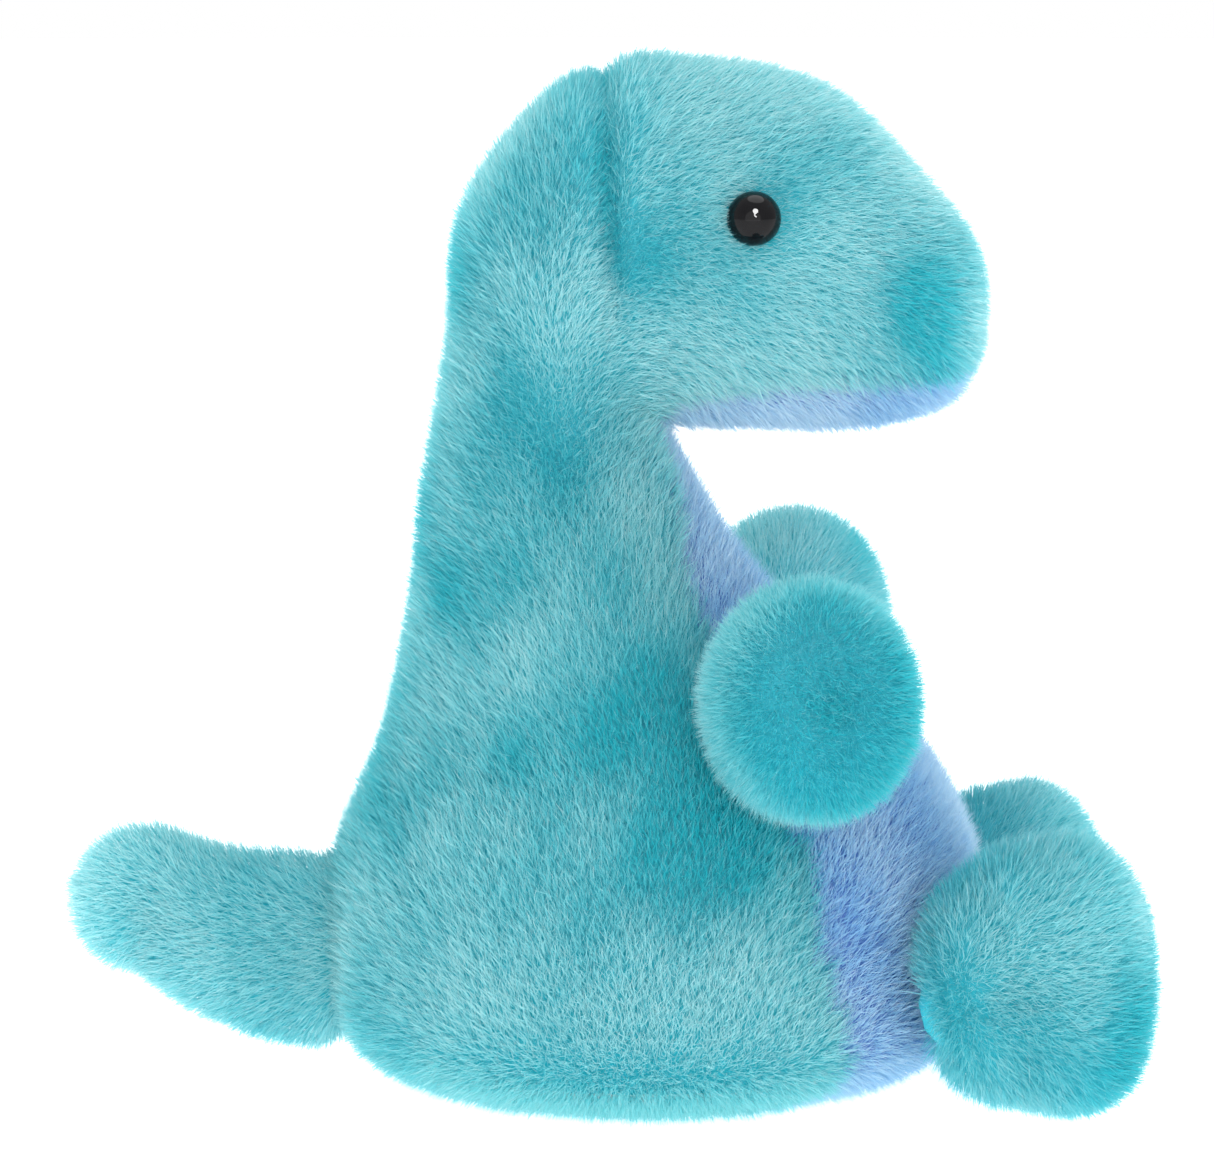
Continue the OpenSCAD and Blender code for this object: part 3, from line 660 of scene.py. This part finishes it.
def plant(name, hide, wanted, finish, seed):
    """Grows the pile of a hide where wanted, given face centres in millimetres and panel numbers, says so."""
    count = len(hide.data.polygons)
    centre = np.empty(count * 3)
    hide.data.polygons.foreach_get("center", centre)
    kind = np.empty(count, int)
    hide.data.polygons.foreach_get("material_index", kind)
    chosen = wanted(centre.reshape(-1, 3) / MM, kind)
    scalp = bpy.data.objects.new(name, hide.data.copy())
    bpy.context.scene.collection.objects.link(scalp)
    work = bmesh.new()
    work.from_mesh(scalp.data)
    work.faces.ensure_lookup_table()
    bmesh.ops.delete(work, geom=[f for f, stays in zip(work.faces, chosen) if not stays], context="FACES")
    work.to_mesh(scalp.data)
    work.free()
    grow = scalp.modifiers.new("pile", "NODES")
    grow.node_group = pile
    grow[pile_socket["Seed"]] = seed
    grow[pile_socket["Finish"]] = finish
    bpy.context.view_layer.update()
    evaluated = scalp.evaluated_get(bpy.context.evaluated_depsgraph_get())
    mesh = bpy.data.meshes.new_from_object(evaluated)
    scalp.modifiers.remove(grow)
    scalp.data = mesh
    mesh.name = name
    for extra in [a.name for a in mesh.attributes if a.name in WORKING]:
        mesh.attributes.remove(mesh.attributes[extra])
    return scalp


# where the hide begins and ends to bend at the neck's turn and at the head's nod
NECK_BEND = ((-0.009, 0, 0.0605), (-0.009, 0, 0.0715))
NOD_BEND = ((-0.011, 0, 0.0722), (-0.011, 0, 0.0835))

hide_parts("body_side_right", "body_side_left", "belly_panel", "neck_side_right",
            "neck_side_left", "throat_panel")
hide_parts("nape_right", "nape_left", "head_side_right", "head_side_left", "chin_panel")
for hide in (body_hide, head_hide):
    for finish in (teal_backing, periwinkle_backing):
        hide.data.materials.append(finish)

FAR = 999                 # beyond the object
ZONES = (
    # piece, hide, panel, sides, x from and to, z from and to, and what it rides or bends with
    ("pile_seat", body_hide, 0, (-1, 1), (-FAR, FAR), (-FAR, 31), "body"),
    ("pile_flank", body_hide, 0, (-1, 1), (-FAR, FAR), (31, 60), "body"),
    ("pile_belly", body_hide, 1, (0,), (-FAR, FAR), (-FAR, 58), "body"),
    ("pile_chest", body_hide, 1, (0,), (-FAR, FAR), (58, FAR), ("body", "neck", NECK_BEND)),
    ("pile_neck", body_hide, 0, (0,), (-FAR, FAR), (60, FAR), ("body", "neck", NECK_BEND)),
    ("pile_crook", head_hide, 0, (0,), (-FAR, FAR), (-FAR, 84), ("neck", "head", NOD_BEND)),
    ("pile_throat", head_hide, 1, (0,), (-FAR, 9), (-FAR, FAR), ("neck", "head", NOD_BEND)),
    ("pile_chin", head_hide, 1, (0,), (9, FAR), (-FAR, FAR), "head"),
    ("pile_nape", head_hide, 0, (-1, 1), (-FAR, -5), (84, FAR), "head"),
    ("pile_head", head_hide, 0, (-1, 1), (-5, FAR), (84, FAR), "head"))
for zone, (name, hide, panel, sides, across, high, holder) in enumerate(ZONES):
    for side in sides:
        def wanted(c, kind):
            inside = (c[:, 0] >= across[0]) & (c[:, 0] < across[1])
            inside &= (c[:, 2] >= high[0]) & (c[:, 2] < high[1])
            return inside & (kind == panel) & (c[:, 1] * side >= 0)
        suffix = {-1: "_right", 0: "", 1: "_left"}[side]
        seed = 100 + 3 * zone + side
        piece = plant(name + suffix, hide, wanted, (teal_fibre, periwinkle_fibre)[panel], seed)
        if holder in ("body", "head"):
            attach(piece, holder)
        else:
            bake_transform(piece, holder[0], holder[1], start=holder[2][0], end=holder[2][1])
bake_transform(body_hide, "body", "neck", start=NECK_BEND[0], end=NECK_BEND[1])
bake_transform(head_hide, "neck", "head", start=NOD_BEND[0], end=NOD_BEND[1])

limbs = [(f"arm_{s}", arm_hides[s], (f"arm_{s}_outer", f"arm_{s}_inner")) for s in ("right", "left")]
limbs += [(f"leg_{s}", leg_hides[s], (f"leg_{s}_upper", f"leg_{s}_sole")) for s in ("right", "left")]
limbs += [("tail", tail_hide, ("tail_right", "tail_left"))]
for number, (body, hide, nodes) in enumerate(limbs):
    hide.data.materials.append(teal_backing)
    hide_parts(*nodes)
    piece = plant(f"pile_{body}", hide, lambda c, k: k == 0, teal_fibre, 200 + number)
    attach(piece, body)
    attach(hide, body)
bpy.data.objects.remove(fibre)
# the caps are backing like the rest of the hide
for hide in (body_hide, head_hide, tail_hide, *arm_hides.values(), *leg_hides.values()):
    for face in hide.data.polygons:
        if face.material_index == CAP:
            face.material_index = 0


# --------------------------------------------------------------------------------------------------
# Safety eyes: black domes moulded in one with a stem, polished, each locked by a washer behind the hide.
# --------------------------------------------------------------------------------------------------
def eye_finish():
    g = Graph("eye_black")
    place = g.out(g.node("ShaderNodeTexCoord"), "Object")
    cloud = g.out(g.node("ShaderNodeTexNoise", Vector=place, Scale=900.0, Detail=2.0), 0)
    colour = blend_colour(g, cloud, (0.002, 0.002, 0.003), (0.006, 0.006, 0.007))
    return g.finish(g.node("ShaderNodeBsdfPrincipled", Base_Color=colour, Roughness=0.02, IOR=1.25))


def give(node, finish):
    mesh = frame["nodes"][node].data
    mesh.materials.clear()
    mesh.materials.append(finish)


black = eye_finish()
for side in ("right", "left"):
    give(f"eye_{side}", black)


# --------------------------------------------------------------------------------------------------
# What the hide holds: fibre filling, the pouch of pellets in the seat, washers and sewing thread.
# --------------------------------------------------------------------------------------------------
def plain_finish(name, deep, light, scale, roughness):
    g = Graph(name)
    place = g.out(g.node("ShaderNodeTexCoord"), "Object")
    grain = g.out(g.node("ShaderNodeTexNoise", Vector=place, Scale=scale, Detail=4.0), 0)
    colour = blend_colour(g, grain, deep, light)
    bump = g.node("ShaderNodeBump", Strength=0.4, Distance=0.0003, Height=grain)
    return g.finish(g.node("ShaderNodeBsdfPrincipled", Base_Color=colour, Roughness=roughness,
                         Normal=g.out(bump)))


INSIDE = {
    "filling": plain_finish("filling_fibre", (0.62, 0.62, 0.6), (0.86, 0.86, 0.84), 700, 0.95),
    "pouch_cloth": plain_finish("pouch_weave", (0.5, 0.5, 0.47), (0.68, 0.68, 0.64), 2600, 0.9),
    "pellets": plain_finish("pellet_plastic", (0.66, 0.64, 0.56), (0.78, 0.77, 0.7), 500, 0.45),
    "washer": plain_finish("washer_plastic", (0.7, 0.7, 0.7), (0.82, 0.82, 0.82), 600, 0.4),
    "thread": plain_finish("sewing_thread", (0.01, 0.2, 0.27), (0.03, 0.36, 0.44), 4000, 0.7)}
for part in frame["record"]["subparts"]:
    if part["material_slot"] in INSIDE:
        give(part["node"], INSIDE[part["material_slot"]])
give("base_panel", teal_backing)


def limb_filling(node, hide, body):
    """The filling of a limb, which takes the form of its hide a little inside it."""
    filling = bpy.data.objects.new(node + "_form", hide.data.copy())
    bpy.context.scene.collection.objects.link(filling)
    normals = np.empty(len(hide.data.vertices) * 3)
    filling.data.vertices.foreach_get("normal", normals)
    co = vertices(filling) - FILLING_DEPTH * MM * normals.reshape(-1, 3)
    filling.data.vertices.foreach_set("co", co.reshape(-1))
    filling.data.materials.clear()
    filling.data.materials.append(INSIDE["filling"])
    filling.data.update()
    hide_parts(node)
    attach(filling, body)


FILLING_DEPTH = 0.8       # how far the filling of a limb lies below its backing
for body, hide, _ in limbs:
    limb_filling(body + "_fill", hide, body)


# --------------------------------------------------------------------------------------------------
# Pale floor, soft studio light and the camera. The floor and the sky give an even light from all round, two
# softboxes model the form from the front and from above.
# --------------------------------------------------------------------------------------------------
def floor_finish():
    g = Graph("pale_floor")
    return g.finish(g.node("ShaderNodeBsdfPrincipled", Base_Color=(0.8, 0.8, 0.8), Roughness=0.9,
                         Emission_Color=(1, 1, 1), Emission_Strength=0.98))


FLOOR = 4.0               # radius of the floor
floor_mesh = bpy.data.meshes.new("floor")
turns = np.linspace(0, 2 * math.pi, 64, endpoint=False)
ring = [(FLOOR * math.cos(a), FLOOR * math.sin(a), -0.0004) for a in turns]
floor_mesh.from_pydata(ring, [], [tuple(range(len(ring)))])
floor = bpy.data.objects.new("floor", floor_mesh)
floor_mesh.materials.append(floor_finish())
bpy.context.scene.collection.objects.link(floor)

scene = bpy.context.scene
world = bpy.data.worlds.new("studio")
scene.world = world
world.use_nodes = True
sky = world.node_tree.nodes["Background"]
seen = world.node_tree.nodes.new("ShaderNodeLightPath")
strength = world.node_tree.nodes.new("ShaderNodeMapRange")
strength.inputs["To Min"].default_value = 0.91
strength.inputs["To Max"].default_value = 1.0
world.node_tree.links.new(seen.outputs["Is Camera Ray"], strength.inputs["Value"])
world.node_tree.links.new(strength.outputs[0], sky.inputs["Strength"])
sky.inputs["Color"].default_value = (1, 1, 1, 1)
scene.view_settings.view_transform = "Standard"


def softbox(name, place, target, size, power):
    light = bpy.data.lights.new(name, "AREA")
    light.shape = "DISK"
    light.size = size
    light.energy = power
    lamp = bpy.data.objects.new(name, light)
    scene.collection.objects.link(lamp)
    lamp.location = place
    lamp.rotation_euler = (Vector(target) - Vector(place)).to_track_quat("-Z", "Y").to_euler()
    return lamp


AIM = Vector((-0.00504, 0, 0.0614))
ELEVATION = math.radians(7.5)
TO_CAMERA = Vector((0, -math.cos(ELEVATION), math.sin(ELEVATION)))
softbox("key", (-0.08, -0.95, 0.14), AIM, 1.2, 4.4)
softbox("top", (0.1, 0.1, 1.0), AIM, 0.8, 4.2)
# a small lamp that only shows in the near eye, where the dome turns it to the camera
eye = Vector(np.array(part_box("eye_right")).mean(0))
looks = unit(np.cross(hide_point([12.9], [102], 0) - hide_point([12.9], [100], 0),
                      hide_point([12.94], [101], 0) - hide_point([12.86], [101], 0)))[0]
looks = Vector(-looks if looks[1] > 0 else looks)
mirrored = 2 * looks.dot(TO_CAMERA) * looks - TO_CAMERA + Vector((-0.36, 0, 0.38))
spark = softbox("spark", eye + 0.55 * mirrored, eye, 0.22, 8.5)
spark.visible_diffuse = False
spark.visible_transmission = False

CAMERA_DISTANCE = 0.65
VIEW_WIDTH = 0.1441       # width of the view at the object
SENSOR = 36               # width of the camera's sensor, in millimetres
camera_data = bpy.data.cameras.new("camera")
camera_data.sensor_width = SENSOR
camera_data.lens = SENSOR * CAMERA_DISTANCE / VIEW_WIDTH
camera = bpy.data.objects.new("camera", camera_data)
scene.collection.objects.link(camera)
camera.location = AIM + CAMERA_DISTANCE * TO_CAMERA
camera.rotation_euler = (AIM - camera.location).to_track_quat("-Z", "Y").to_euler()
scene.camera = camera
